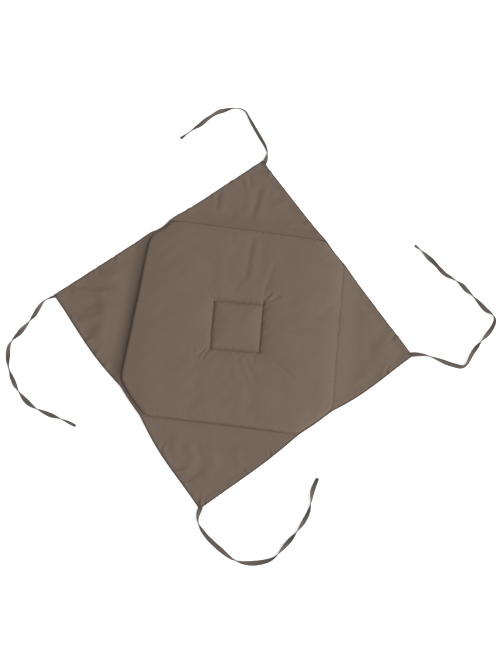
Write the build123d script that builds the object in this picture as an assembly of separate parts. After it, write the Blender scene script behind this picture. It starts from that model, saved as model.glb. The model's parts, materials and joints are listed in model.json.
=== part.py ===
from build123d import *
import math
import os

# Chair seat pad. A square cloth cover, two plies thick, lies flat on the seat. Four straight fold
# seams close off a filled pocket in its middle; the corners outside them are flaps that hang over
# the seat's edges, each with a tie at its tip.
# Millimetres, +Z up. The origin is under the middle of the cover, on the face that meets the seat.
# The cover's corners point along +X (right), +Y (back), -X (left) and -Y (front).

# ---- cover
cover_side = 456.0       # finished side of the square cover
fabric = 0.6             # one ply of woven polyester
rim_width = 1.0          # the turned seam that runs round the cover's edge
short_side = 50.0        # stretch of each side of the cover that lies between two fold seams

# Each fold seam is sewn a little further out or in than the pattern, and turned a little.
folds = {
    "right": {"facing": 0.0, "shift": 8.9, "turn": 3.4},
    "back": {"facing": 90.0, "shift": -1.9, "turn": 2.0},
    "left": {"facing": 180.0, "shift": -5.7, "turn": 0.3},
    "front": {"facing": 270.0, "shift": 0.3, "turn": 2.75},
}
# The filling draws each side of the cover in at its middle, on the way from one corner to the next.
edge_pull = {"right": -1.4, "back": 0.0, "left": 7.0, "front": 4.8}

# ---- filled pocket
seam_height = 9.0        # level at which the two panels are stitched together round the pocket
lip = 4.0                # flat stitched edge round the pocket
crown_height = 24.0      # highest level of the top panel
shoulder_height = 17.0
shoulder_inset = 10.0
brow_height = 22.0
brow_inset = 28.0
crown_inset = 60.0
foot_inset = 20.0        # where the underside comes down to the seat

# ---- tuft, a square stitched through the middle
tuft_side = 85.0
tuft_centre = (7.5, -4.0)
tuft_turn = 4.8
tuft_web = 3.0           # filling left squeezed between the panels along the tuft's stitching
groove_width = 6.0

# ---- flaps
hinge_gap = 1.0          # bare stretch of cloth at the fold, left open so that the flap can turn
flap_lip = 4.0           # where the flap starts to slope down to the seat
flap_landing = 28.0      # where it meets the seat

# ---- stitching
thread_width = 0.5
thread_rise = 0.25
stitch_inset = 1.5       # from the fold line to the row of stitches
stitch_margin = 3.0      # each row stops this far from the cover's edge

# ---- ties
tie_width = 8.5
tie_thickness = 2 * fabric
bartack_length = 6.0
bartack_width = 6.5
bend_share = 0.45        # share of the shorter run that each bend takes up

# The line of each tie on the seat, counted from the cover's own corner, root first.
tie_routes = {
    "right": [(-4.5, 2), (17.5, 6), (47.5, 1), (71.5, -4.5), (93, -6.5), (101.5, 20), (115.5, 47.5),
              (132.5, 70), (139, 96.5), (114.5, 109), (86.5, 134), (63.5, 150.5), (34.5, 162.5),
              (14.5, 181), (-4, 195), (-21.8, 205)],
    "back": [(4, -5.5), (9, 10.5), (3, 26.5), (-16, 50.5), (-37, 77.5), (-48, 95.5), (-66, 98.5),
             (-95, 87), (-119.5, 61.5), (-141, 35), (-158, 17)],
    "left": [(4.5, -2), (-11.5, -9), (-20.5, -30), (-32.5, -62), (-48.5, -86), (-56.5, -107),
             (-48.5, -140), (-26.5, -174), (3.5, -200), (39.5, -209.5), (68.5, -214.5),
             (89.5, -221)],
    "front": [(1.5, 4.5), (-2.5, -10.5), (4, -26.5), (22, -43.5), (48, -59), (72, -72), (101, -72),
              (134, -59.5), (146, -40), (163.5, -13.5), (179, 17.5), (182.5, 41.5), (181, 64),
              (187.3, 84.2)],
}

up = Vector(0, 0, 1)
sides = list(folds)
half_diagonal = cover_side / math.sqrt(2)
flap_depth = (cover_side - short_side) / 2 / math.sqrt(2)
far = 4 * half_diagonal   # longer than anything that is cut to shape


# ---- plan geometry

def direction(degrees):
    return Vector(math.cos(math.radians(degrees)), math.sin(math.radians(degrees)), 0)


def fold_point(side):
    return direction(folds[side]["facing"]) * (half_diagonal - flap_depth + folds[side]["shift"])


def fold_outward(side):
    return direction(folds[side]["facing"] + folds[side]["turn"])


def fold_along(side):
    return up.cross(fold_outward(side))


def meet(point, along, start, end):
    """Where the line through point along a direction meets the line from start to end."""
    normal = up.cross(along)
    share = (point - start).dot(normal) / (end - start).dot(normal)
    return start + (end - start) * share


def cover_corner(side, inset):
    return direction(folds[side]["facing"]) * (half_diagonal - inset * math.sqrt(2))


def cover_middle(side, inset):
    """Middle of the cover's side that runs anticlockwise from this side's corner."""
    return direction(folds[side]["facing"] + 45) * (cover_side / 2 - edge_pull[side] - inset)


def side_points(side, inset):
    """One fold seam's two ends, clockwise one first, with the flap's corner between them."""
    before = sides[sides.index(side) - 1]
    corner = cover_corner(side, inset)
    clockwise = meet(fold_point(side), fold_along(side), cover_middle(before, inset), corner)
    anticlockwise = meet(fold_point(side), fold_along(side), corner, cover_middle(side, inset))
    return clockwise, corner, anticlockwise


def cover_outline(inset):
    return [point for side in sides for point in side_points(side, inset)]


def pocket_outline(inset):
    return [point for side in sides for point in side_points(side, inset)[::2]]


def face_at(points, level):
    return Face(Wire.make_polygon([point + up * level for point in points], close=True))


def prism(points, low, high):
    return Solid.extrude(face_at(points, low), up * (high - low))


def extruded_profile(start, across, along, profile):
    """A long bar along one line; profile lists its section as (distance across, height)."""
    foot = start - along * (far / 2)
    corners = [foot + across * out + up * height for out, height in profile]
    return Solid.extrude(Face(Wire.make_polygon(corners, close=True)), along * far)


def write(name, *shapes):
    solids = [solid for shape in shapes for solid in shape.solids()]
    export_step(solids[0] if len(solids) == 1 else Compound(children=solids), f"parts/{name}.step")


# ---- filled pocket

os.makedirs("parts", exist_ok=True)
pocket = pocket_outline(rim_width)
lip_top = seam_height + fabric
lip_bottom = seam_height - fabric


def tuft_square(side_length):
    half = side_length / 2
    corners = [Vector(-half, -half), Vector(half, -half), Vector(half, half), Vector(-half, half)]
    centre = Vector(*tuft_centre)
    return [corner.rotate(Axis.Z, tuft_turn) + centre for corner in corners]


def square_ring(width, low, high):
    outer = prism(tuft_square(tuft_side + width), low, high)
    return outer - prism(tuft_square(tuft_side - width), low, high)


def domed(profile):
    """The pocket's outline with the same section inwards from every one of its sides."""
    body = prism(pocket, 0, crown_height)
    for start, end in zip(pocket, pocket[1:] + pocket[:1]):
        along = (end - start).normalized()
        body = (body & extruded_profile(start, up.cross(along), along, profile)).solid()
    return body


def grooved(body, ply):
    """Sinks the tuft's square into both faces, down to the squeezed filling and its panels."""
    reach = tuft_web / 2 + fabric - ply
    width = groove_width + 2 * ply
    body = body - square_ring(width, seam_height + reach, crown_height + 1)
    return body - square_ring(width, -1, seam_height - reach)


over = [(crown_inset, crown_height), (brow_inset, brow_height), (shoulder_inset, shoulder_height)]
outside = [(0, lip_bottom), (lip, lip_bottom), (foot_inset, 0), (far, 0), (far, crown_height)]
outside += over + [(lip, lip_top), (0, lip_top)]
inside = [(lip + fabric, seam_height), (foot_inset + fabric, fabric), (far, fabric)]
inside += [(far, crown_height - fabric)]
inside += [(inset + fabric, height - fabric) for inset, height in over]

filling = grooved(domed(inside), fabric)
panels = grooved(domed(outside), 0) - filling
above = prism(cover_outline(0), seam_height, crown_height + 1)
write("filling", filling)
write("pocket_top_panel", panels & above)
write("pocket_bottom_panel", panels - above)

tuft_top = seam_height + tuft_web / 2 + fabric
tuft_bottom = seam_height - tuft_web / 2 - fabric
write(
    "tuft_stitching",
    square_ring(thread_width, tuft_top, tuft_top + thread_rise),
    square_ring(thread_width, tuft_bottom - thread_rise, tuft_bottom),
)


def fold_seam(side):
    """The needle thread on top of the pocket's flat edge, and the bobbin thread beneath it."""
    clockwise, _, anticlockwise = side_points(side, rim_width + stitch_margin)
    line = anticlockwise - clockwise
    outer = fold_outward(side) * -stitch_inset
    inner = fold_outward(side) * -(stitch_inset + thread_width)
    strip = [clockwise + outer, clockwise + line + outer, clockwise + line + inner, clockwise + inner]
    return [prism(strip, lip_top, lip_top + thread_rise), prism(strip, lip_bottom - thread_rise, lip_bottom)]


for side in sides:
    write(f"fold_seam_{side}", *fold_seam(side))

# The turned seam on the pocket's four short sides. The cover is turned right side out and filled
# through the front left one, which is closed last with a seam of its own.
short_seams = {}
for side in sides:
    after = sides[(sides.index(side) + 1) % len(sides)]
    inner_ends = [side_points(side, rim_width)[2], side_points(after, rim_width)[0]]
    outer_ends = [side_points(after, 0)[0], side_points(side, 0)[2]]
    short_seams[side] = prism((inner_ends + outer_ends)[::-1], lip_bottom, lip_top)
write("closing_seam", short_seams.pop("left"))
write("pocket_edge_seams", *short_seams.values())


# ---- flaps

def flap_layer(side, low, high):
    """A bent strip under the whole flap: low and high are its faces' heights off the seat."""
    profile = [
        (hinge_gap, lip_bottom + low), (flap_lip, lip_bottom + low), (flap_landing, low), (far, low),
        (far, high), (flap_landing, high), (flap_lip, lip_bottom + high), (hinge_gap, lip_bottom + high),
    ]
    return extruded_profile(fold_point(side), fold_outward(side), fold_along(side), profile)


def tie_points(side):
    tip = cover_corner(side, 0) + up * (tie_thickness / 2)
    return [tip + Vector(x, y) for x, y in tie_routes[side]]


def tip_cut(side):
    """All that lies past the tie's root, where the flap's tip is cut off square to the tie."""
    root, after = tie_points(side)[:2]
    block = Plane(origin=root, z_dir=after - root) * Box(
        tie_width * 4, tie_width * 4, tie_width * 4, align=(Align.CENTER, Align.CENTER, Align.MIN)
    )
    return block


def bend_radii(points):
    radii = []
    for before, here, after in zip(points, points[1:], points[2:]):
        half_turn = math.radians((here - before).get_angle(after - here)) / 2
        shorter = min((here - before).length, (after - here).length)
        radii.append(bend_share * shorter / math.tan(half_turn))
    return radii


def tie(side):
    points = tie_points(side)
    radii = bend_radii(points)
    path = FilletPolyline(*points, radius=radii)
    section = Plane(origin=path @ 0, x_dir=up.cross(path % 0), z_dir=path % 0) * Rectangle(
        tie_width, tie_thickness
    )
    band = sweep(section, path=path)
    share = band.volume / (tie_width * tie_thickness * path.length)
    print(f"tie_{side}: {path.length:.1f} mm long, volume {share:.4f} of section x length")
    print("   bend radii", " ".join(f"{radius:.0f}" for radius in radii))
    return band


def bartack(side):
    root, after = tie_points(side)[:2]
    across = Plane(origin=root + up * (tie_thickness / 2), x_dir=after - root, z_dir=up)
    return across * Box(
        bartack_length, bartack_width, thread_rise, align=(Align.CENTER, Align.CENTER, Align.MIN)
    )


plies = prism(cover_outline(rim_width), 0, crown_height)
rim = prism(cover_outline(0), 0, crown_height) - plies
for side in sides:
    cut = tip_cut(side)
    write(f"flap_{side}_bottom_ply", (flap_layer(side, 0, fabric) & plies) - cut)
    write(f"flap_{side}_top_ply", (flap_layer(side, fabric, 2 * fabric) & plies) - cut)
    write(f"flap_{side}_edge_seam", (flap_layer(side, 0, 2 * fabric) & rim) - cut)
    write(f"tie_{side}", tie(side))
    write(f"tie_{side}_bartack", bartack(side))
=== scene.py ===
import bmesh
import bpy
import json
import math
import numpy as np
from mathutils import Matrix, Quaternion, Vector


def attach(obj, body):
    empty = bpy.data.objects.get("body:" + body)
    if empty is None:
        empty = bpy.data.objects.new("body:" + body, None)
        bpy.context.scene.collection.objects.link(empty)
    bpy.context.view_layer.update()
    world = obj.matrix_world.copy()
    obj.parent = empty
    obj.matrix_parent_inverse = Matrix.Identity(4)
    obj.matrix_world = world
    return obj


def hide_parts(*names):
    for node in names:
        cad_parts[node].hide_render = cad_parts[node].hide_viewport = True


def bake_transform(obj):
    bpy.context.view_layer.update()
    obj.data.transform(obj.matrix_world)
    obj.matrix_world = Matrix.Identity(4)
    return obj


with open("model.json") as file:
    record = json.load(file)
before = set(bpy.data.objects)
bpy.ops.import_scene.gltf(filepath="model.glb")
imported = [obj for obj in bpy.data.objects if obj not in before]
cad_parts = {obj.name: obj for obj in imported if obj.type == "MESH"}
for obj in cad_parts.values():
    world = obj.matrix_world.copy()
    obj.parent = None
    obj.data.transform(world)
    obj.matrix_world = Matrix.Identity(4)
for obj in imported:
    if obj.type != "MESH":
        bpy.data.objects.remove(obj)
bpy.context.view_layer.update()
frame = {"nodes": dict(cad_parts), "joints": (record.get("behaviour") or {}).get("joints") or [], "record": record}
record = frame["record"]
joints = {joint["name"]: joint for joint in frame["joints"]}
sides = ["right", "back", "left", "front"]
upward = Vector((0, 0, 1))

print("chair seat pad: frame loaded,", len(frame["nodes"]), "nodes")


# ---- where the cover's seams run, in metres, all worked out from the frame's folds

coverShape = {
    "side": 0.456,
    "facing": {"right": 0.0, "back": 90.0, "left": 180.0, "front": 270.0},
    "pull": {"right": -0.0014, "back": 0.0, "left": 0.007, "front": 0.0048},   # drawn in by the filling
}


def towards(degrees):
    return Vector((math.cos(math.radians(degrees)), math.sin(math.radians(degrees)), 0))


def foldLine(side):
    # a point on the fold, the way it runs, and the way its flap lies
    joint = joints["fold_" + side]
    along = Vector(joint["axis"]).normalized()
    return Vector(joint["pos_m"]), along, along.cross(upward)


def coverCorner(side):
    return towards(coverShape["facing"][side]) * coverShape["side"] / math.sqrt(2)


def coverMiddle(side):
    return towards(coverShape["facing"][side] + 45) * (coverShape["side"] / 2 - coverShape["pull"][side])


def foldEnds(side):
    # clockwise end, anticlockwise end, where the fold runs out at the cover's edge
    before = sides[sides.index(side) - 1]
    point, along, outward = foldLine(side)
    ends = []
    for middle in (coverMiddle(before), coverMiddle(side)):
        run = middle - coverCorner(side)
        share = (point - coverCorner(side)).dot(outward) / run.dot(outward)
        end = coverCorner(side) + run * share
        ends.append(Vector((end.x, end.y, 0)))
    return ends


# how far the sewn edge stands out along its first flap, at the short side and along its second flap
edgeBows = {
    "right": (0.0, -0.0015, 0.0),
    "back": (-0.001, -0.0055, -0.0005),
    "left": (0.0055, 0.001, 0.0055),
    "front": (0.003, 0.001, 0.0045),
}
bowLook = {"lean": 1.5, "shortReach": 0.022, "depth": 0.034}    # the arch leans to the fold, metres


def arch(share):
    # a smooth rise and fall between a corner and a fold, highest nearer to the fold
    return np.sin(math.pi * np.clip(share, 0, 1) ** bowLook["lean"])


def bowed(points):
    # how far each point of the flat cover moves with its nearest edges
    move = np.zeros((len(points), 2))
    for side in sides:
        after = sides[(sides.index(side) + 1) % 4]
        start, end = coverCorner(side), coverCorner(after)
        run = (end - start).normalized()
        along = inside(points, (start, run))
        depth = np.clip(inside(points, (start, upward.cross(run))), 0, None)
        left = (end - start).length - along
        firstFold = (foldEnds(side)[1] - start).length
        secondFold = (foldEnds(after)[0] - end).length
        fromMiddle = (along - firstFold - left + secondFold) / 2
        first, short, second = edgeBows[side]
        reach = first * arch(along / firstFold) + second * arch(left / secondFold)
        reach = reach + short * np.exp(-(fromMiddle / bowLook["shortReach"]) ** 2)
        reach = reach * np.exp(-(depth / bowLook["depth"]) ** 2)
        move -= np.array(upward.cross(run)[:2]) * reach[:, None]
    return move


def pocketSides():
    # every side of the filled pocket as (point, inward direction): its four folds, then its short sides
    lines = []
    for side in sides:
        point, along, outward = foldLine(side)
        lines.append((point, -outward))
    for side in sides:
        after = sides[(sides.index(side) + 1) % 4]
        start, end = foldEnds(side)[1], foldEnds(after)[0]
        lines.append((start, upward.cross(end - start).normalized()))
    return lines


def flapEdges(side):
    # the two sides of one flap that lie on the cover's edge, as (point, inward direction)
    corner = coverCorner(side)
    clockwise, anticlockwise = foldEnds(side)
    return [
        (corner, upward.cross(corner - clockwise).normalized()),
        (corner, upward.cross(anticlockwise - corner).normalized()),
    ]


def inside(points, line):
    # how far each point is inside a line
    point, inward = line
    return (points[:, 0] - point.x) * inward.x + (points[:, 1] - point.y) * inward.y


def nearPath(points, path):
    # distance from each point to a path of straight stretches
    best = np.full(len(points), 1e9)
    for start, end in zip(path, path[1:]):
        start, end = np.array(start), np.array(end)
        run = end - start
        share = np.clip((points - start) @ run / max(run @ run, 1e-12), 0, 1)
        best = np.minimum(best, np.linalg.norm(points - start - share[:, None] * run, axis=1))
    return best


def ripple(points, length, seed):
    # smooth uneven waves, about -1 to 1, with the given wavelength
    random = np.random.RandomState(seed)
    total = np.zeros(len(points))
    for turn in random.uniform(0, 2 * math.pi, 7):
        wave = 2 * math.pi / (length * random.uniform(0.7, 1.5))
        reach = points[:, 0] * math.cos(turn) + points[:, 1] * math.sin(turn)
        total += np.sin(reach * wave + random.uniform(0, 2 * math.pi))
    return total / 3.2


def pucker(reach, length, seed):
    # uneven waves along a seam, from how far along it each point is
    random = np.random.RandomState(seed)
    total = np.zeros(len(reach))
    for index in range(6):
        wave = 2 * math.pi / (length * random.uniform(0.6, 1.8))
        total += np.sin(reach * wave + random.uniform(0, 2 * math.pi))
    return total / 2.4


def seamPuckers(points, lines, seed, look):
    # short ripples square to each seam, strongest a little way in from it
    total = np.zeros(len(points))
    for index, (point, inward) in enumerate(lines):
        depth = inside(points, (point, inward))
        along = inside(points, (point, upward.cross(inward)))
        uneven = pucker(along, 0.045, seed + 50 + index)
        reach = look["puckerReach"] * np.clip(1 + 0.6 * uneven, 0.4, 2)
        band = np.exp(-((depth - look["puckerInset"]) / reach) ** 2)
        band = band * np.clip(0.45 + 0.7 * pucker(along, 0.035, seed + 80 + index), 0, 1.3)
        lean = depth * 0.9 * pucker(along, 0.06, seed + 90 + index)
        total += band * pucker(along + lean, look["puckerLength"], seed + index)
    return total * look["puckerHeight"]


def creased(points, creases):
    # each crease is (path in metres, half width, height); a negative height is a valley
    total = np.zeros(len(points))
    for path, width, height in creases:
        path = path if len(path) > 1 else [path[0], (path[0][0] + 1e-5, path[0][1])]
        total += height * np.exp(-(nearPath(points, path) / width) ** 2)
    return total


# ---- mesh helpers

def gridMesh(size, spacing, centre=(0, 0)):
    mesh = bmesh.new()
    count = int(round(size / spacing))
    bmesh.ops.create_grid(mesh, x_segments=count, y_segments=count, size=size / 2)
    bmesh.ops.translate(mesh, verts=mesh.verts, vec=(centre[0], centre[1], 0))
    return mesh


def cutMesh(mesh, point, keepSide, clear=True, near=None):
    # cuts along an upright plane; clear takes away what lies outside it
    if near is None:
        geometry = [*mesh.verts, *mesh.edges, *mesh.faces]
    else:
        faces = [face for face in mesh.faces if near(face.verts[0].co)]
        geometry = {item for face in faces for item in (face, *face.edges, *face.verts)}
    bmesh.ops.bisect_plane(
        mesh, geom=list(geometry), dist=1e-6, plane_co=(point.x, point.y, 0), plane_no=-keepSide,
        clear_outer=clear,
    )


def plan(mesh):
    return np.array([vert.co[:2] for vert in mesh.verts])


def twoPlies(mesh, top, bottom):
    # moves a flat mesh to its top face, and a copy of it to its bottom face, joined round the rim
    rim = np.array([vert.is_boundary for vert in mesh.verts])
    middle = (top + bottom) / 2
    top[rim], bottom[rim] = middle[rim], middle[rim]
    copy = bmesh.ops.duplicate(mesh, geom=[*mesh.verts, *mesh.edges, *mesh.faces])
    lower = [item for item in copy["geom"] if isinstance(item, bmesh.types.BMVert)]
    bmesh.ops.reverse_faces(mesh, faces=[f for f in copy["geom"] if isinstance(f, bmesh.types.BMFace)])
    lowerSet = set(lower)
    upper = [vert for vert in mesh.verts if vert not in lowerSet]
    order = {copy["vert_map"][vert]: index for index, vert in enumerate(upper)}
    for index, vert in enumerate(upper):
        vert.co = top[index]
    for vert in lower:
        vert.co = bottom[order[vert]]
    bmesh.ops.remove_doubles(mesh, verts=[v for v in mesh.verts if v.is_boundary], dist=1e-6)
    return [(vert, index) for index, vert in enumerate(upper) if not rim[index]]


def clothMap(mesh, sewnEdges):
    # the weave runs parallel to the cover's own sides, in metres on the flat cloth; the rim map holds how far in from
    # the given edges each point is, for the material's painted shade
    weave = mesh.loops.layers.uv.new("weave")
    rim = mesh.loops.layers.uv.new("rim")
    half = math.sqrt(0.5)
    points = plan(mesh)
    depths = np.stack([inside(points, line) for line in sewnEdges]).min(0)
    mesh.verts.index_update()
    for face in mesh.faces:
        for loop in face.loops:
            x, y = loop.vert.co.x, loop.vert.co.y
            loop[weave].uv = ((x - y) * half, (x + y) * half)
            loop[rim].uv = (depths[loop.vert.index], 0)


def makePiece(name, mesh, material, smooth=True):
    data = bpy.data.meshes.new(name)
    mesh.to_mesh(data)
    mesh.free()
    data.materials.append(material)
    for polygon in data.polygons:
        polygon.use_smooth = smooth
    piece = bpy.data.objects.new(name, data)
    bpy.context.scene.collection.objects.link(piece)
    return piece


# ---- materials

clothLook = {
    "colour": (0.166, 0.124, 0.0952),
    "shade": 0.93,            # the darker threads
    "thread": 0.00042,        # from one thread to the next
    "weaveDepth": 0.00005,
    "roughness": 0.82,
    "sheen": 0.04,
    "paintedEdgeShade": 0.36,         # painted shade: the colour is darkened along the cover's sewn edge, where the rolled seam lies in shade
    "paintedShadeWidth": 0.0042,
}
threadLook = {"colour": (0.16, 0.122, 0.096), "roughness": 0.7}
fillingLook = {"colour": (0.80, 0.80, 0.77), "roughness": 0.95}


def newMaterial(name, roughness, sheen):
    material = bpy.data.materials.new(name)
    material.use_nodes = True
    tree = material.node_tree
    shader = tree.nodes["Principled BSDF"]
    shader.inputs["Roughness"].default_value = roughness
    shader.inputs["Specular IOR Level"].default_value = 0.15
    shader.inputs["Sheen Weight"].default_value = sheen
    shader.inputs["Sheen Roughness"].default_value = 0.5
    return material, tree, shader


def addNode(tree, kind, inputs=None, **settings):
    node = tree.nodes.new(kind)
    for key, value in settings.items():
        setattr(node, key, value)
    for key, value in (inputs or {}).items():
        node.inputs[key].default_value = value
    return node


def mixColours(tree, factor, darker, lighter):
    mix = addNode(tree, "ShaderNodeMix", data_type="RGBA")
    mix.inputs["A"].default_value = (*darker, 1)
    mix.inputs["B"].default_value = (*lighter, 1)
    tree.links.new(factor, mix.inputs["Factor"])
    return mix.outputs["Result"]


def paintEdgeShade(tree, colour, look):
    # paints shade along the sewn edge: the rim map's first number is how far in from the sewn edge the cloth is, in
    # metres, and the colour darkens towards that edge
    rim = addNode(tree, "ShaderNodeUVMap", uv_map="rim")
    split = addNode(tree, "ShaderNodeSeparateXYZ")
    tree.links.new(rim.outputs["UV"], split.inputs["Vector"])
    fade = addNode(
        tree, "ShaderNodeMapRange",
        {"From Min": 0.0, "From Max": look["paintedShadeWidth"], "To Min": look["paintedEdgeShade"], "To Max": 1.0},
        interpolation_type="SMOOTHSTEP",
    )
    tree.links.new(split.outputs["X"], fade.inputs["Value"])
    shaded = addNode(tree, "ShaderNodeMix", {"Factor": 1.0}, data_type="RGBA", blend_type="MULTIPLY")
    tree.links.new(colour, shaded.inputs["A"])
    tree.links.new(fade.outputs["Result"], shaded.inputs["B"])
    return shaded.outputs["Result"]


def clothMaterial(name, look):
    material, tree, shader = newMaterial(name, look["roughness"], look["sheen"])
    uv = addNode(tree, "ShaderNodeUVMap", uv_map="weave")
    waves = []
    for direction in ("X", "Y"):
        wave = addNode(
            tree, "ShaderNodeTexWave", {"Scale": 0.5 / look["thread"] / 10, "Distortion": 0.0},
            wave_type="BANDS", bands_direction=direction, wave_profile="SIN",
        )
        tree.links.new(uv.outputs["UV"], wave.inputs["Vector"])
        waves.append(wave)
    over = addNode(tree, "ShaderNodeMath", operation="MULTIPLY")
    tree.links.new(waves[0].outputs["Fac"], over.inputs[0])
    tree.links.new(waves[1].outputs["Fac"], over.inputs[1])
    slub = addNode(tree, "ShaderNodeTexNoise", {"Scale": 900.0, "Detail": 3.0, "Roughness": 0.6})
    tree.links.new(uv.outputs["UV"], slub.inputs["Vector"])
    height = addNode(tree, "ShaderNodeMath", operation="ADD")
    tree.links.new(over.outputs["Value"], height.inputs[0])
    tree.links.new(slub.outputs["Fac"], height.inputs[1])
    bump = addNode(tree, "ShaderNodeBump", {"Strength": 0.5, "Distance": look["weaveDepth"]})
    tree.links.new(height.outputs["Value"], bump.inputs["Height"])
    tree.links.new(bump.outputs["Normal"], shader.inputs["Normal"])
    drift = addNode(tree, "ShaderNodeTexNoise", {"Scale": 22.0, "Detail": 4.0, "Roughness": 0.55})
    tree.links.new(uv.outputs["UV"], drift.inputs["Vector"])
    speck = addNode(tree, "ShaderNodeMath", operation="MULTIPLY_ADD")
    speck.inputs[1].default_value = 0.35
    tree.links.new(over.outputs["Value"], speck.inputs[0])
    tree.links.new(drift.outputs["Fac"], speck.inputs[2])
    darker = [channel * look["shade"] for channel in look["colour"]]
    lighter = [channel * (2 - look["shade"]) for channel in look["colour"]]
    colour = mixColours(tree, speck.outputs["Value"], darker, lighter)
    # painted shade along the sewn edges; the tie cloth has none
    if look["paintedEdgeShade"] < 1:
        colour = paintEdgeShade(tree, colour, look)
    tree.links.new(colour, shader.inputs["Base Color"])
    return material


def threadMaterial(name, look):
    material, tree, shader = newMaterial(name, look["roughness"], 0.1)
    place = addNode(tree, "ShaderNodeTexCoord")
    noise = addNode(tree, "ShaderNodeTexNoise", {"Scale": 2500.0, "Detail": 2.0})
    tree.links.new(place.outputs["Object"], noise.inputs["Vector"])
    darker = [channel * 0.8 for channel in look["colour"]]
    lighter = [channel * 1.2 for channel in look["colour"]]
    tree.links.new(mixColours(tree, noise.outputs["Fac"], darker, lighter), shader.inputs["Base Color"])
    bump = addNode(tree, "ShaderNodeBump", {"Strength": 0.6, "Distance": 0.0001})
    tree.links.new(noise.outputs["Fac"], bump.inputs["Height"])
    tree.links.new(bump.outputs["Normal"], shader.inputs["Normal"])
    return material


def fillingMaterial(name, look):
    material, tree, shader = newMaterial(name, look["roughness"], 0.3)
    place = addNode(tree, "ShaderNodeTexCoord")
    noise = addNode(tree, "ShaderNodeTexNoise", {"Scale": 350.0, "Detail": 6.0, "Roughness": 0.7})
    tree.links.new(place.outputs["Object"], noise.inputs["Vector"])
    darker = [channel * 0.85 for channel in look["colour"]]
    tree.links.new(mixColours(tree, noise.outputs["Fac"], darker, look["colour"]), shader.inputs["Base Color"])
    bump = addNode(tree, "ShaderNodeBump", {"Strength": 0.8, "Distance": 0.001})
    tree.links.new(noise.outputs["Fac"], bump.inputs["Height"])
    tree.links.new(bump.outputs["Normal"], shader.inputs["Normal"])
    return material


coverCloth = clothMaterial("taupe woven polyester", clothLook)
# the tie cloth is the cover cloth made darker: painted shade for the ties' shaded sides and edges; it has no painted
# edge shade
tieCloth = clothMaterial("taupe folded tie band", {**clothLook, "colour": (0.119, 0.098, 0.083), "paintedEdgeShade": 1.0})
sewingThread = threadMaterial("taupe sewing thread", threadLook)
fillingFibre = fillingMaterial("white fibre filling", fillingLook)
print("materials made")


# ---- camera and lights

viewFrom = {"target": (0.0328, -0.0107, 0.0), "distance": 1.3787, "azimuth": 3.84, "elevation": 76.16,
            "roll": 5.93, "lens": 42.0}


def addCamera(look):
    camera = bpy.data.objects.new("camera", bpy.data.cameras.new("camera"))
    camera.data.lens = look["lens"]
    camera.data.sensor_width = 36.0
    turn, rise = math.radians(look["azimuth"]), math.radians(look["elevation"])
    back = Vector((math.sin(turn) * math.cos(rise), -math.cos(turn) * math.cos(rise), math.sin(rise)))
    camera.location = Vector(look["target"]) + back * look["distance"]
    camera.rotation_mode = "QUATERNION"
    upright = (-back).to_track_quat("-Z", "Y")
    camera.rotation_quaternion = Quaternion(back, math.radians(look["roll"])) @ upright
    bpy.context.scene.collection.objects.link(camera)
    bpy.context.scene.camera = camera


lightPlan = {
    "key": {"azimuth": 80.0, "elevation": 50.0, "distance": 6.0, "size": 3.2, "watts": 298.0},
    "fill": {"azimuth": -60.0, "elevation": 70.0, "distance": 5.0, "size": 2.0, "watts": 4.0},
    "sky": 0.40,
}


def addLight(name, look):
    lamp = bpy.data.lights.new(name, "AREA")
    lamp.shape = "DISK"
    lamp.size = look["size"]
    lamp.energy = look["watts"]
    light = bpy.data.objects.new(name, lamp)
    turn, rise = math.radians(look["azimuth"]), math.radians(look["elevation"])
    back = Vector((math.sin(turn) * math.cos(rise), -math.cos(turn) * math.cos(rise), math.sin(rise)))
    light.location = back * look["distance"]
    light.rotation_mode = "QUATERNION"
    light.rotation_quaternion = (-back).to_track_quat("-Z", "Y")
    bpy.context.scene.collection.objects.link(light)


def addStudio():
    addLight("key light", lightPlan["key"])
    addLight("fill light", lightPlan["fill"])
    world = bpy.data.worlds.new("studio")
    world.use_nodes = True
    world.node_tree.nodes["Background"].inputs["Color"].default_value = (1, 1, 1, 1)
    world.node_tree.nodes["Background"].inputs["Strength"].default_value = lightPlan["sky"]
    bpy.context.scene.world = world
    bpy.context.scene.view_settings.view_transform = "Standard"
    mesh = bmesh.new()
    bmesh.ops.create_grid(mesh, x_segments=2, y_segments=2, size=30.0)
    bmesh.ops.translate(mesh, verts=mesh.verts, vec=(0, 0, -0.0002))
    material, tree, shader = newMaterial("pale floor", 0.9, 0.0)
    shader.inputs["Base Color"].default_value = (0.9, 0.9, 0.9, 1)
    shader.inputs["Emission Color"].default_value = (1, 1, 1, 1)
    shader.inputs["Emission Strength"].default_value = 0.62
    makePiece("floor", mesh, material, smooth=False)


addCamera(viewFrom)
addStudio()
print("camera and lights placed")


# ---- ties: folded bands that lie on the floor and turn over here and there

tieShape = {"width": 0.0085, "thickness": 0.0017, "ease": 0.006}

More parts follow.
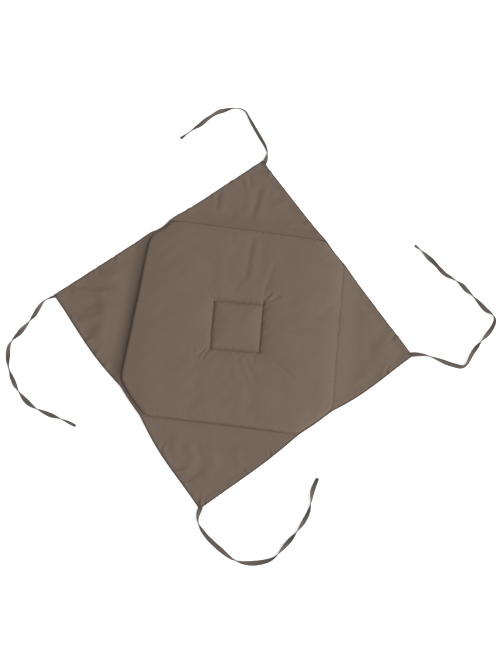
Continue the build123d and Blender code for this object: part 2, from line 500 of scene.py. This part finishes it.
# the same points as the CAD ties, counted from the cover's own corner, root first
tieRoutes = {
    "right": [(-0.0045, 0.002), (0.0175, 0.006), (0.0475, 0.001), (0.0715, -0.0045), (0.093, -0.0065),
              (0.1015, 0.020), (0.1155, 0.0475), (0.1325, 0.070), (0.139, 0.0965), (0.1145, 0.109),
              (0.0865, 0.134), (0.0635, 0.1505), (0.0345, 0.1625), (0.0145, 0.181), (-0.004, 0.195),
              (-0.0218, 0.205)],
    "back": [(0.004, -0.0055), (0.009, 0.0105), (0.003, 0.0265), (-0.016, 0.0505), (-0.037, 0.0775),
             (-0.048, 0.0955), (-0.066, 0.0985), (-0.095, 0.087), (-0.1195, 0.0615), (-0.141, 0.035),
             (-0.158, 0.017)],
    "left": [(0.0045, -0.002), (-0.0115, -0.009), (-0.0205, -0.030), (-0.0325, -0.062),
             (-0.0485, -0.086), (-0.0565, -0.107), (-0.0485, -0.140), (-0.0265, -0.174),
             (0.0035, -0.200), (0.0395, -0.2095), (0.0685, -0.2145), (0.0895, -0.221)],
    "front": [(0.0015, 0.0045), (-0.0025, -0.0105), (0.004, -0.0265), (0.022, -0.0435),
              (0.048, -0.059), (0.072, -0.072), (0.101, -0.072), (0.134, -0.0595), (0.146, -0.040),
              (0.1635, -0.0135), (0.179, 0.0175), (0.1825, 0.0415), (0.181, 0.064),
              (0.1873, 0.0842)],
}
# how each tie rolls along its length: metres from its root, and degrees, where 0 lies flat
tieRolls = {
    "right": [(0, 0), (0.028, 90), (0.058, 172), (0.097, 245), (0.128, 190), (0.149, 100), (0.174, 10),
              (0.202, -75), (0.224, -170), (0.252, -268), (0.275, -350), (0.294, -450), (0.320, -530),
              (0.342, -610), (0.368, -540), (0.390, -460), (0.401, -430)],
    "back": [(0, 0), (0.020, 88), (0.052, 130), (0.088, 115), (0.108, 100), (0.126, 68), (0.140, 60),
             (0.157, 8), (0.172, -58), (0.184, -68), (0.196, -56), (0.211, -12), (0.228, 47), (0.240, 66),
             (0.252, 48), (0.261, 15)],
    "left": [(0, 30), (0.020, 75), (0.042, 140), (0.066, 255), (0.092, 350), (0.114, 440), (0.138, 545),
             (0.163, 625), (0.184, 540), (0.204, 450), (0.228, 365), (0.252, 272), (0.274, 180),
             (0.300, 80), (0.318, 45), (0.326, 60)],
    "front": [(0, 0), (0.020, -68), (0.044, -145), (0.080, -195), (0.108, -245), (0.130, -330),
              (0.150, -362), (0.182, -432), (0.206, -518), (0.230, -610), (0.254, -695), (0.280, -785),
              (0.312, -890), (0.334, -955)],
}


def splinePoints(route):
    curve = bpy.data.curves.new("tie line", "CURVE")
    curve.dimensions = "3D"
    spline = curve.splines.new("NURBS")
    spline.points.add(len(route) - 1)
    for point, place in zip(spline.points, route):
        point.co = (*place, 1)
    spline.order_u = 3
    spline.use_endpoint_u = True
    spline.resolution_u = 12
    holder = bpy.data.objects.new("tie line", curve)
    line = bpy.data.meshes.new_from_object(holder)
    points = [vert.co.copy() for vert in line.vertices]
    bpy.data.objects.remove(holder)
    bpy.data.curves.remove(curve)
    bpy.data.meshes.remove(line)
    return points


def bandTurn(distance, rolls):
    # the roll there, eased a little either side so that the band has no kink
    places, degrees = zip(*rolls)
    near = [distance + (step - 3) * tieShape["ease"] / 3 for step in range(7)]
    return math.radians(float(np.mean(np.interp(near, places, degrees))))


def bandRing(segments):
    # a flat oval section, as unit width and unit thickness
    ring = []
    for index in range(segments):
        angle = 2 * math.pi * index / segments
        across, up = math.cos(angle), math.sin(angle)
        ring.append((math.copysign(abs(across) ** 0.55, across) / 2, math.copysign(abs(up) ** 0.7, up) / 2))
    return ring


def makeTie(side):
    corner = coverCorner(side)
    route = [(corner.x + x, corner.y + y, tieShape["thickness"]) for x, y in tieRoutes[side]]
    points = splinePoints(route)
    section = bandRing(14)
    mesh = bmesh.new()
    ring = bmesh.ops.create_circle(mesh, cap_ends=True, segments=len(section), radius=0.001)["verts"]
    path, along, spots = [], 0.0, {}
    for index, point in enumerate(points):
        along += (point - points[max(index - 1, 0)]).length
        ahead = points[min(index + 1, len(points) - 1)] - points[max(index - 1, 0)]
        across = upward.cross(ahead).normalized()
        turn = bandTurn(along, tieRolls[side])
        wide = tieShape["width"] * (0.94 + 0.05 * math.sin(along * 90) + 0.03 * math.sin(along * 230))
        thick = tieShape["thickness"]
        lift = math.hypot(math.sin(turn), 0.1) * wide / 2 + abs(math.cos(turn)) * thick / 2
        centre = Vector((point.x, point.y, lift + 0.0001))
        wideWay = across * math.cos(turn) + upward * math.sin(turn)
        thickWay = upward * math.cos(turn) - across * math.sin(turn)
        if index:
            edges = [edge for edge in {e for v in ring for e in v.link_edges} if set(edge.verts) <= set(ring)]
            grown = bmesh.ops.extrude_edge_only(mesh, edges=edges)["geom"]
            ring = orderedRing(ring, [item for item in grown if isinstance(item, bmesh.types.BMVert)])
        for vert, (sideways, up) in zip(ring, section):
            vert.co = centre + wideWay * (sideways * wide) + thickWay * (up * thick)
            spots[vert] = (along, (sideways if up > 0 else 1.1 - sideways) * wide)
        path.append(tuple(centre))
    bmesh.ops.contextual_create(mesh, geom=ring)
    bmesh.ops.recalc_face_normals(mesh, faces=mesh.faces)
    layer = mesh.loops.layers.uv.new("weave")
    for face in mesh.faces:
        for loop in face.loops:
            loop[layer].uv = spots[loop.vert]
    return mesh, path


def orderedRing(before, fresh):
    # the new ring's points, each after the old point that it grew from
    fresh = set(fresh)
    return [next(e.other_vert(v) for e in v.link_edges if e.other_vert(v) in fresh) for v in before]


for side in sides:
    mesh, path = makeTie(side)
    tie = makePiece("tie_" + side + "_band", mesh, tieCloth)
    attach(tie, "flap_" + side)
    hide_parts("tie_" + side)
print("ties laid")


# ---- the filled pocket

pocketLook = {
    "spacing": 0.0018,
    "seam": 0.009,           # level of the stitched edge
    "edge": 0.0018,          # thickness of the cloth along it
    "foldInset": 0.0017,     # stitches inside each fold, and inside each short side
    "shortInsets": [0.0030, 0.0074, 0.0078, 0.0030],
    "bulge": 0.0042,         # radius of the plump side that hangs over the stitches
    "undercut": [-30.0, 42.0, 54.0, 34.0],   # how far round it starts, in degrees below level
    "shortUndercut": [-20.0, 14.0, 32.0, -20.0],
    "sideRise": 0.0078,
    "crownRise": 0.0066,     # the slow rise to the crown
    "crownReach": 0.036,
    "spread": 0.050,         # how far in the cloth is drawn by the bulge
    "footReach": 0.0060,
    "corner": 0.0040,        # how round the pocket is where two seams meet
    "puckerLength": 0.014,
    "puckerInset": 0.009,
    "puckerReach": 0.006,
    "puckerHeight": 0.0004,
}
tuftLook = {
    "side": 0.085,
    "centre": (0.0075, -0.004),
    "turn": 4.8,
    "sharp": 0.0028,         # depth of the pinched part of the groove, and of the soft part round it
    "sharpReach": 0.0024,
    "soft": 0.0054,
    "softReach": 0.014,
}
pocketCreases = [
    ([(0.007, 0.152), (0.008, 0.120), (0.008, 0.086)], 0.0060, -0.0013),
    ([(0.018, 0.150), (0.017, 0.092)], 0.0080, 0.0006),
    ([(0.054, 0.112), (0.047, 0.074)], 0.0050, -0.0007),
    ([(0.046, 0.110), (0.040, 0.078)], 0.0060, 0.0004),
    ([(0.0455, 0.046), (0.057, 0.062)], 0.0019, -0.0020),
    ([(0.0505, 0.046), (0.061, 0.061)], 0.0019, 0.0012),
    ([(0.047, 0.044), (0.060, 0.051), (0.071, 0.059)], 0.0018, -0.0012),
    ([(0.052, 0.041), (0.080, 0.057)], 0.0028, 0.0007),
    ([(0.050, 0.034), (0.058, 0.040)], 0.0022, -0.0012),
    ([(0.044, 0.047), (0.046, 0.072)], 0.0022, -0.0009),
    ([(-0.0305, -0.048), (-0.0370, -0.060), (-0.041, -0.071)], 0.0020, -0.0019),
    ([(-0.0375, -0.051), (-0.047, -0.066), (-0.057, -0.068), (-0.058, -0.060)], 0.0020, -0.0013),
    ([(-0.035, -0.050), (-0.044, -0.072)], 0.0018, 0.0013),
    ([(0.052, -0.042), (0.074, -0.052), (0.118, -0.078)], 0.0026, -0.0013),
    ([(0.056, -0.046), (0.080, -0.061)], 0.0026, 0.0008),
    ([(0.044, -0.048), (0.048, -0.062)], 0.0026, -0.0009),
    ([(0.026, -0.066), (0.048, -0.098)], 0.0040, 0.0006),
    ([(0.033, -0.062), (0.056, -0.094)], 0.0045, -0.0004),
    ([(0.012, -0.060), (0.020, -0.092)], 0.0045, 0.0003),
    ([(-0.038, 0.033), (-0.050, 0.046)], 0.0024, -0.0009),
    ([(0.084, 0.002), (0.136, 0.011)], 0.0034, -0.0005),
    ([(0.086, 0.030), (0.110, 0.036)], 0.0034, -0.0004),
    ([(-0.120, 0.040), (-0.100, 0.036)], 0.0050, -0.0006),
    ([(-0.095, -0.012), (-0.080, -0.016)], 0.0040, -0.0004),
    ([(0.138, 0.150), (0.161, 0.157)], 0.0026, -0.0011),
    ([(-0.030, 0.166), (-0.026, 0.140)], 0.0040, -0.0005),
]


settleLook = {
    "spacing": 0.004,
    "frames": 20,
    "pressure": 0.3,
    "slack": 0.006,          # how much longer the cloth is than the shape it covers
    "bending": 0.3,
    "cap": 0.0030,           # the farthest that a point may move
    "share": 0.5,            # how much of the movement the cover keeps
}
settled = {}


def settledMove(points):
    # the kept movement at each point, smoothed between the coarse cloth's points
    if "moved" not in settled:
        return np.zeros((len(points), 3))
    place = (points + 0.20) / settleLook["spacing"]
    cell = np.floor(place).astype(int)
    part = place - cell
    curve = [(1 - part) ** 3, 3 * part ** 3 - 6 * part ** 2 + 4,
             3 * part + 3 * part ** 2 - 3 * part ** 3 + 1, part ** 3]
    last = settled["moved"].shape[0] - 1
    total = np.zeros((len(points), 3))
    for row in range(4):
        for column in range(4):
            weight = curve[row][:, 0] * curve[column][:, 1] / 36
            near = settled["moved"][np.clip(cell[:, 0] + row - 1, 0, last), np.clip(cell[:, 1] + column - 1, 0, last)]
            total += weight[:, None] * near
    return total * settleLook["share"]


def tuftPlaces(points):
    # signed distance from the tuft's square of stitches, positive inside it
    turn = math.radians(tuftLook["turn"])
    x = points[:, 0] - tuftLook["centre"][0]
    y = points[:, 1] - tuftLook["centre"][1]
    across = np.abs(x * math.cos(turn) + y * math.sin(turn)) - tuftLook["side"] / 2
    along = np.abs(y * math.cos(turn) - x * math.sin(turn)) - tuftLook["side"] / 2
    outside = np.hypot(np.maximum(across, 0), np.maximum(along, 0))
    return np.where((across > 0) | (along > 0), -outside, np.minimum(-across, -along))


def pocketInsets(points):
    # how far each point is in from the pocket's stitches, and which way is inward there
    look = pocketLook
    lines = pocketSides()
    insets = [look["foldInset"]] * 4 + look["shortInsets"]
    distances = np.stack([inside(points, line) - inset for line, inset in zip(lines, insets)])
    lowest = distances.min(0)
    weights = np.exp(-(distances - lowest) / look["corner"])
    near = lowest - look["corner"] * np.log(weights.sum(0)) + 0.0012 * (weights.sum(0) - 1)
    weights /= weights.sum(0)
    inward = sum(weight[:, None] * np.array(line[1][:2]) for weight, line in zip(weights, lines))
    rim = np.stack([inside(points, line) for line in lines]).min(0)
    turns = look["undercut"] + look["shortUndercut"]
    start = sum(weight * math.radians(-turn) for weight, turn in zip(weights, turns))
    return np.clip(near, 0, None), inward, np.clip(rim, 0, None), start


def pocketFaces(points, ply=0.0, pinchGap=0.0):
    # the pocket's top and bottom faces as (x, y, z), a ply's thickness in from the outside
    look, tuft = pocketLook, tuftLook
    inner, inward, rim, start = pocketInsets(points)
    pinch = np.clip(np.abs(tuftPlaces(points)) - pinchGap, 0, None)
    length = look["bulge"] * (math.pi / 2 - start)
    angle = start + np.minimum(inner / look["bulge"], math.pi / 2 - start)
    arcOut = look["bulge"] * (np.cos(angle) - np.cos(start)) + np.minimum(inner, length)
    pulled = 1 / (1 + (np.clip(inner - length, 0, None) / look["spread"]) ** 2)
    out = arcOut * pulled
    rise = look["bulge"] * (np.sin(angle) - np.sin(start))
    rise += (look["sideRise"] - look["bulge"] * (1 - np.sin(start))) * (1 - np.exp(-inner / 0.010))
    rise += look["crownRise"] * (1 - np.exp(-inner / look["crownReach"]))
    groove = tuft["sharp"] * np.exp(-pinch / tuft["sharpReach"])
    groove += tuft["soft"] * np.exp(-pinch / tuft["softReach"])
    edge = look["edge"] / 2 * np.sqrt(np.clip(1 - (1 - rim.clip(0, 0.0008) / 0.0008) ** 2, 0, 1))
    edge *= 1 - 0.55 * np.exp(-(inner / 0.0007) ** 2) * (rim > 0.0004)
    waves = ripple(points, 0.055, 3) * 0.00035 + ripple(points, 0.022, 8) * 0.00010
    calm = 1 - np.exp(-inner / 0.012)
    puckers = seamPuckers(points, pocketSides(), 21, look) * (1 - np.exp(-inner / 0.001))
    tuftPuckers = ripple(points, 0.012, 5) * 0.0004 * np.exp(-((pinch - 0.004) / 0.004) ** 2)
    top = look["seam"] + edge + rise - groove * (1 - np.exp(-inner / 0.02))
    top += calm * (waves + creased(points, pocketCreases)) + puckers + tuftPuckers
    fall = look["seam"] * (1 - np.exp(-inner / look["footReach"])) * 1.08
    bottom = look["seam"] - edge - fall + puckers
    bottom = np.maximum(bottom, 0.0003 + 0.0002 * (ripple(points, 0.03, 13) + 1))
    bottom += 0.0072 * np.exp(-pinch / 0.006)
    drawn = -inward * (out - ply)[:, None]
    points = points + bowed(points)
    upper = np.column_stack([points + drawn, top - ply]) + settledMove(points)
    lower = np.column_stack([points + drawn * 0.35, bottom + ply])
    return upper, lower


def settlePocket():
    # a coarse pocket is blown up with its seams and tuft held, and how far its top moves is kept
    look = settleLook
    mesh = gridMesh(0.40, look["spacing"])
    for line in pocketSides():
        cutMesh(mesh, line[0], line[1])
    flat = plan(mesh)
    top, bottom = pocketFaces(flat)
    upper = twoPlies(mesh, top, bottom)
    inner = pocketInsets(flat)[0]
    pinch = np.abs(tuftPlaces(flat))
    mesh.verts.index_update()
    free = [(vert.index, place) for vert, place in upper]
    hold = np.ones(len(mesh.verts))
    for index, place in free:
        hold[index] = float(inner[place] < 0.0015 or pinch[place] < 0.0022)
    data = bpy.data.meshes.new("settling")
    mesh.to_mesh(data)
    mesh.free()
    cloth = bpy.data.objects.new("settling", data)
    bpy.context.scene.collection.objects.link(cloth)
    group = cloth.vertex_groups.new(name="held")
    group.add([index for index in range(len(hold)) if hold[index]], 1.0, "REPLACE")
    modifier = cloth.modifiers.new("cloth", "CLOTH")
    settings = modifier.settings
    settings.quality = 8
    settings.mass = 0.02
    settings.tension_stiffness = settings.compression_stiffness = 20
    settings.shear_stiffness = 8
    settings.bending_stiffness = look["bending"]
    settings.air_damping = 4
    settings.vertex_group_mass = "held"
    settings.pin_stiffness = 5
    settings.shrink_min = -look["slack"]
    settings.use_pressure = True
    settings.uniform_pressure_force = look["pressure"]
    settings.effector_weights.gravity = 0
    modifier.collision_settings.use_collision = False
    for number in range(1, look["frames"] + 1):
        bpy.context.scene.frame_set(number)
    result = cloth.evaluated_get(bpy.context.evaluated_depsgraph_get()).to_mesh()
    count = int(round(0.40 / look["spacing"])) + 1
    moved = np.zeros((count, count, 3))
    for index, place in free:
        step = np.array(result.vertices[index].co) - np.array(data.vertices[index].co)
        row, column = np.round((flat[place] + 0.20) / look["spacing"]).astype(int)
        moved[row, column] = step * min(1, look["cap"] / max(np.linalg.norm(step), 1e-9))
    bpy.data.objects.remove(cloth)
    bpy.context.scene.frame_set(1)
    settled["moved"] = moved
    print("cloth settled: moved up to", round(float(np.abs(moved).max()) * 1000, 2), "mm")


def cutPocket(mesh, rows):
    for line in pocketSides():
        cutMesh(mesh, line[0], line[1])
    for point, inward in pocketSides():
        for inset in rows:
            row = point + inward * inset
            cutMesh(mesh, row, inward, clear=False,
                    near=lambda c, p=point, n=inward: (c - p).to_2d().dot(n.to_2d()) < 0.009)


def makePocket():
    mesh = gridMesh(0.40, pocketLook["spacing"])
    cutPocket(mesh, (0.0003, 0.0008, 0.0017, 0.0024, 0.0032, 0.0042, 0.0050, 0.0060))
    turn = math.radians(tuftLook["turn"])
    centre = Vector((*tuftLook["centre"], 0))
    for quarter in range(4):
        outward = Vector((math.cos(turn + quarter * math.pi / 2), math.sin(turn + quarter * math.pi / 2), 0))
        for step in (-0.0022, -0.0008, 0.0, 0.0008, 0.0022):
            row = centre + outward * (tuftLook["side"] / 2 + step)
            cutMesh(mesh, row, outward, clear=False,
                    near=lambda c: (c.to_2d() - centre.to_2d()).length < 0.066)
    bmesh.ops.remove_doubles(mesh, verts=[v for v in mesh.verts if not v.is_boundary], dist=0.0002)
    # the rim map gives the pocket's short sewn sides their painted shade
    clothMap(mesh, pocketSides()[4:])
    points = plan(mesh)
    top, bottom = pocketFaces(points)
    twoPlies(mesh, top, bottom)
    return mesh


settlePocket()
pocket = makePiece("pocket_cover", makePocket(), coverCloth)
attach(pocket, "pad")
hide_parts("pocket_top_panel", "pocket_bottom_panel", "pocket_edge_seams")
print("pocket made:", len(pocket.data.polygons), "faces")


def makeFilling():
    mesh = gridMesh(0.40, 0.005)
    for point, inward in pocketSides():
        cutMesh(mesh, point + inward * 0.0085, inward)
    top, bottom = pocketFaces(plan(mesh), ply=0.0013, pinchGap=0.0055)
    twoPlies(mesh, top, bottom)
    return mesh


filling = makePiece("pocket_filling", makeFilling(), fillingFibre)
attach(filling, "pad")
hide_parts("filling")
print("filling made")


# ---- the flaps

flapLook = {
    "spacing": 0.0021,
    "seam": 0.0090,
    "cloth": 0.0013,          # both plies together
    "hem": 0.0026,            # with the seam's turned-in cloth between them
    "hemWidth": 0.009,
    "tuck": 0.0012,           # how far the flap's end reaches in between the pocket's plies
    "ridgeOut": 0.0028,       # the fold stands up a little this far outside its line
    "rest": 0.0014,           # middle of the cloth above the floor
    "puckerLength": 0.0150,
    "puckerInset": 0.005,
    "puckerReach": 0.0065,
    "puckerHeight": 0.0022,
}
flapDrape = {                 # how far out from its fold each flap comes down, and how soon
    "right": {"reach": 0.036, "power": 1.9, "ridge": 0.0001, "pucker": 0.55},
    # the back flap's colour is darkened along its fold, as painted shade in the crease
    "back": {"reach": 0.036, "power": 1.7, "ridge": 0.0008, "pucker": 0.9, "paintedFoldShade": 0.0008},
    "left": {"reach": 0.025, "power": 2.1, "ridge": 0.0015, "pucker": 1.0},
    "front": {"reach": 0.026, "power": 2.4, "ridge": 0.0005, "pucker": 0.9},
}
flapCreases = {
    "right": [
        ([(0.268, 0.006)], 0.017, 0.0034),
        ([(0.246, 0.004)], 0.010, -0.0008),
        ([(0.215, 0.075), (0.235, 0.060)], 0.008, 0.0014),
        ([(0.222, -0.065), (0.245, -0.048)], 0.008, 0.0014),
        ([(0.288, 0.012), (0.300, 0.004)], 0.005, -0.0010),
    ],
    "back": [
        ([(0.004, 0.262), (0.000, 0.209)], 0.0056, -0.0013),
        ([(0.014, 0.258), (0.010, 0.214)], 0.0070, 0.0014),
        ([(-0.012, 0.258), (-0.012, 0.222)], 0.0075, 0.0012),
        ([(-0.020, 0.286), (-0.012, 0.266)], 0.0035, -0.0012),
        ([(-0.026, 0.284), (-0.019, 0.262)], 0.0050, 0.0014),
        ([(-0.070, 0.242), (-0.068, 0.210)], 0.0045, -0.0012),
        ([(-0.060, 0.244), (-0.058, 0.216)], 0.0070, 0.0012),
        ([(-0.036, 0.206)], 0.0070, -0.0010),
        ([(0.044, 0.259)], 0.0090, -0.0012),
        ([(0.040, 0.236), (0.052, 0.244)], 0.0080, 0.0014),
        ([(0.076, 0.199), (0.112, 0.201)], 0.0040, -0.0014),
        ([(0.072, 0.207), (0.100, 0.210)], 0.0050, 0.0014),
    ],
    "left": [
        ([(-0.222, 0.050), (-0.226, -0.060)], 0.028, 0.0034),
        ([(-0.281, 0.025), (-0.252, 0.026), (-0.223, 0.033)], 0.0055, -0.0019),
        ([(-0.287, 0.012), (-0.240, 0.015)], 0.0070, 0.0026),
        ([(-0.262, 0.044), (-0.226, 0.050)], 0.0075, 0.0022),
        ([(-0.294, -0.024), (-0.268, -0.016), (-0.246, -0.001)], 0.0060, -0.0019),
        ([(-0.251, -0.056), (-0.243, -0.046)], 0.0070, -0.0016),
        ([(-0.270, -0.040), (-0.240, -0.028)], 0.0070, 0.0024),
        ([(-0.228, -0.010), (-0.222, -0.060)], 0.0090, 0.0016),
        ([(-0.236, -0.084), (-0.226, -0.076)], 0.0050, -0.0012),
    ],
    "front": [
        ([(-0.024, -0.219), (-0.010, -0.242), (-0.014, -0.262), (-0.026, -0.276)], 0.0050, -0.0014),
        ([(-0.036, -0.224), (-0.024, -0.242), (-0.032, -0.262)], 0.0075, 0.0015),
        ([(0.004, -0.226), (0.010, -0.246), (0.002, -0.264)], 0.0080, 0.0012),
        ([(-0.107, -0.202), (-0.086, -0.197)], 0.0045, -0.0011),
        ([(0.056, -0.243)], 0.0080, -0.0010),
        ([(0.046, -0.222), (0.052, -0.236)], 0.0070, 0.0012),
        ([(-0.067, -0.230)], 0.0080, -0.0012),
        ([(-0.058, -0.212), (-0.060, -0.224)], 0.0080, 0.0012),
    ],
}


def flapFaces(side, points):
    look, drape = flapLook, flapDrape[side]
    point, along, outward = foldLine(side)
    out = (points[:, 0] - point.x) * outward.x + (points[:, 1] - point.y) * outward.y
    edges = np.stack([inside(points, line) for line in flapEdges(side)])
    edge = np.clip(edges.min(0), 0, None)
    far = np.clip((out - 0.001) / drape["reach"], 0, 1)
    fall = 0.5 * (1 - far) ** drape["power"] + 0.25 * (1 + np.cos(math.pi * far))
    middle = look["rest"] + (look["seam"] - look["rest"]) * fall
    middle += drape["ridge"] * np.exp(-((out - look["ridgeOut"]) / 0.0022) ** 2)
    free = 1 - np.exp(-np.clip(out - 0.004, 0, None) / 0.012)
    seed = sides.index(side) * 10
    waves = 0.0005 * (ripple(points, 0.060, seed + 1) + 1) + 0.00016 * ripple(points, 0.020, seed + 2)
    middle += free * (waves + creased(points, flapCreases[side]))
    middle += free * drape["pucker"] * seamPuckers(points, flapEdges(side), seed + 3, look)
    hem = 1 / (1 + np.exp((edge - look["hemWidth"]) / 0.0007))
    thick = look["cloth"] + (look["hem"] - look["cloth"]) * hem * free
    thick = thick * (0.15 + 0.85 * np.sqrt(np.clip(1 - (1 - np.clip(edge, 0, 0.0026) / 0.0026) ** 2, 0, 1)))
    thick = np.where(out < 0.0005, np.minimum(thick, 0.0010), thick)
    middle = np.maximum(middle, thick / 2 + 0.0001)
    points = points + bowed(points)
    upper = np.column_stack([points, middle + thick / 2])
    lower = np.column_stack([points, middle - thick / 2])
    return upper, lower


def makeFlap(side):
    point, along, outward = foldLine(side)
    corner = coverCorner(side)
    middle = (point + corner) / 2
    mesh = gridMesh(0.34, flapLook["spacing"], (middle.x, middle.y))
    cutMesh(mesh, point - outward * flapLook["tuck"], outward)
    for line in flapEdges(side):
        cutMesh(mesh, line[0], line[1])
    for start, inward in flapEdges(side):
        for inset in (0.0002, 0.0007, 0.0015, 0.0026):
            cutMesh(mesh, start + inward * inset, inward, clear=False,
                    near=lambda c, p=start, n=inward: (c - p).to_2d().dot(n.to_2d()) < 0.004)
    for out in (0.0, 0.0009, 0.0018, 0.0027, 0.0040):
        cutMesh(mesh, point + outward * out, outward, clear=False,
                near=lambda c: (c - point).to_2d().dot(outward.to_2d()) < 0.007)
    bmesh.ops.remove_doubles(mesh, verts=[v for v in mesh.verts if not v.is_boundary], dist=0.0001)
    # painted shade: the back flap's fold line joins its sewn edges in the rim map, so its colour darkens in the
    # crease by the pad
    paintedShadeEdges = flapEdges(side)
    if "paintedFoldShade" in flapDrape[side]:
        paintedShadeEdges.append((point - outward * flapDrape[side]["paintedFoldShade"], outward))
    clothMap(mesh, paintedShadeEdges)
    top, bottom = flapFaces(side, plan(mesh))
    twoPlies(mesh, top, bottom)
    return mesh


for side in sides:
    point, along, outward = foldLine(side)
    clockwise, anticlockwise = foldEnds(side)
    flap = makePiece("flap_" + side + "_cover", makeFlap(side), coverCloth)
    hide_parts(f"flap_{side}_top_ply", f"flap_{side}_bottom_ply", f"flap_{side}_edge_seam")
    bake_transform(flap)
    print("flap", side, "made:", len(flap.data.polygons), "faces")


# ---- stitches

stitchLook = {"length": 0.0030, "gap": 0.0005, "thread": 0.00038, "sink": 0.72}


def addStitch(mesh, centre, along, normal, length, thread):
    # one short thread that dips into the cloth at both ends
    across = normal.cross(along).normalized()
    normal = along.cross(across).normalized()
    turn = Matrix((along, across, normal)).transposed().to_4x4()
    grow = Matrix.Diagonal((length / 2, thread / 2, thread / 2, 1))
    bmesh.ops.create_uvsphere(
        mesh, u_segments=6, v_segments=5, radius=1.0, matrix=Matrix.Translation(centre) @ turn @ grow
    )


def stitchRow(mesh, start, end, faces):
    # faces gives the cloth's top and bottom at a list of points
    run = end - start
    count = int(run.length / (stitchLook["length"] + stitchLook["gap"]))
    step = run / count
    centres = np.array([(start + step * (index + 0.5)).to_2d() for index in range(count)])
    top, bottom = faces(centres)
    for index in range(count):
        for spot, normal in ((top[index], upward), (bottom[index], -upward)):
            place = Vector(spot) + normal * stitchLook["thread"] * (0.5 - stitchLook["sink"])
            addStitch(mesh, place, step.normalized(), normal, stitchLook["length"], stitchLook["thread"])


def finishStitches(name, mesh, body, node):
    piece = makePiece(name, mesh, sewingThread)
    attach(piece, body)
    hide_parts(node)


for side in sides:
    point, along, outward = foldLine(side)
    clockwise, anticlockwise = foldEnds(side)
    inset = -outward * pocketLook["foldInset"]
    trim = (anticlockwise - clockwise).normalized() * 0.004
    mesh = bmesh.new()
    stitchRow(mesh, clockwise + inset + trim, anticlockwise + inset - trim, pocketFaces)
    finishStitches(f"fold_stitches_{side}", mesh, "pad", f"fold_seam_{side}")

mesh = bmesh.new()
turn = Matrix.Rotation(math.radians(tuftLook["turn"]), 3, "Z")
half = tuftLook["side"] / 2
square = [Vector((x * half, y * half, 0)) for x, y in ((-1, -1), (1, -1), (1, 1), (-1, 1))]
square = [turn @ corner + Vector((*tuftLook["centre"], 0)) for corner in square]
for start, end in zip(square, square[1:] + square[:1]):
    stitchRow(mesh, start, end, pocketFaces)
finishStitches("tuft_stitches", mesh, "pad", "tuft_stitching")

# the turning gap is closed by hand, with short stitches over the edge
mesh = bmesh.new()
start, end = foldEnds("left")[1], foldEnds("front")[0]
inward = upward.cross(end - start).normalized()
count = 13
for index in range(count):
    place = start + (end - start) * ((index + 0.5) / count)
    lean = ((end - start).normalized() * 0.55 + inward).normalized()
    spot = place + inward * 0.0009
    spot += Vector((*bowed(np.array([spot[:2]]))[0], 0))
    addStitch(mesh, Vector((spot.x, spot.y, pocketLook["seam"] + 0.0008)), lean, upward, 0.0030, 0.0005)
    addStitch(mesh, Vector((spot.x, spot.y, pocketLook["seam"] - 0.0008)), lean, upward, 0.0030, 0.0005)
finishStitches("closing_stitches", mesh, "pad", "closing_seam")

# each tie is held at the flap's tip by a short bar of zigzag stitches
for side in sides:
    corner = coverCorner(side)
    root = Vector((corner.x + tieRoutes[side][0][0], corner.y + tieRoutes[side][0][1], 0))
    after = Vector((corner.x + tieRoutes[side][1][0], corner.y + tieRoutes[side][1][1], 0))
    along = (after - root).normalized()
    across = upward.cross(along)
    mesh = bmesh.new()
    for index in range(9):
        reach = (index - 4) * 0.0006
        lean = (across + along * (0.25 if index % 2 else -0.25)).normalized()
        spot = root + along * (reach - 0.0030)
        top, bottom = flapFaces(side, np.array([spot[:2]]))
        addStitch(mesh, Vector(top[0]) + upward * 0.00005, lean, upward, 0.0042, 0.00042)
    finishStitches(f"tie_{side}_stitches", mesh, f"flap_{side}", f"tie_{side}_bartack")
print("stitches sewn")
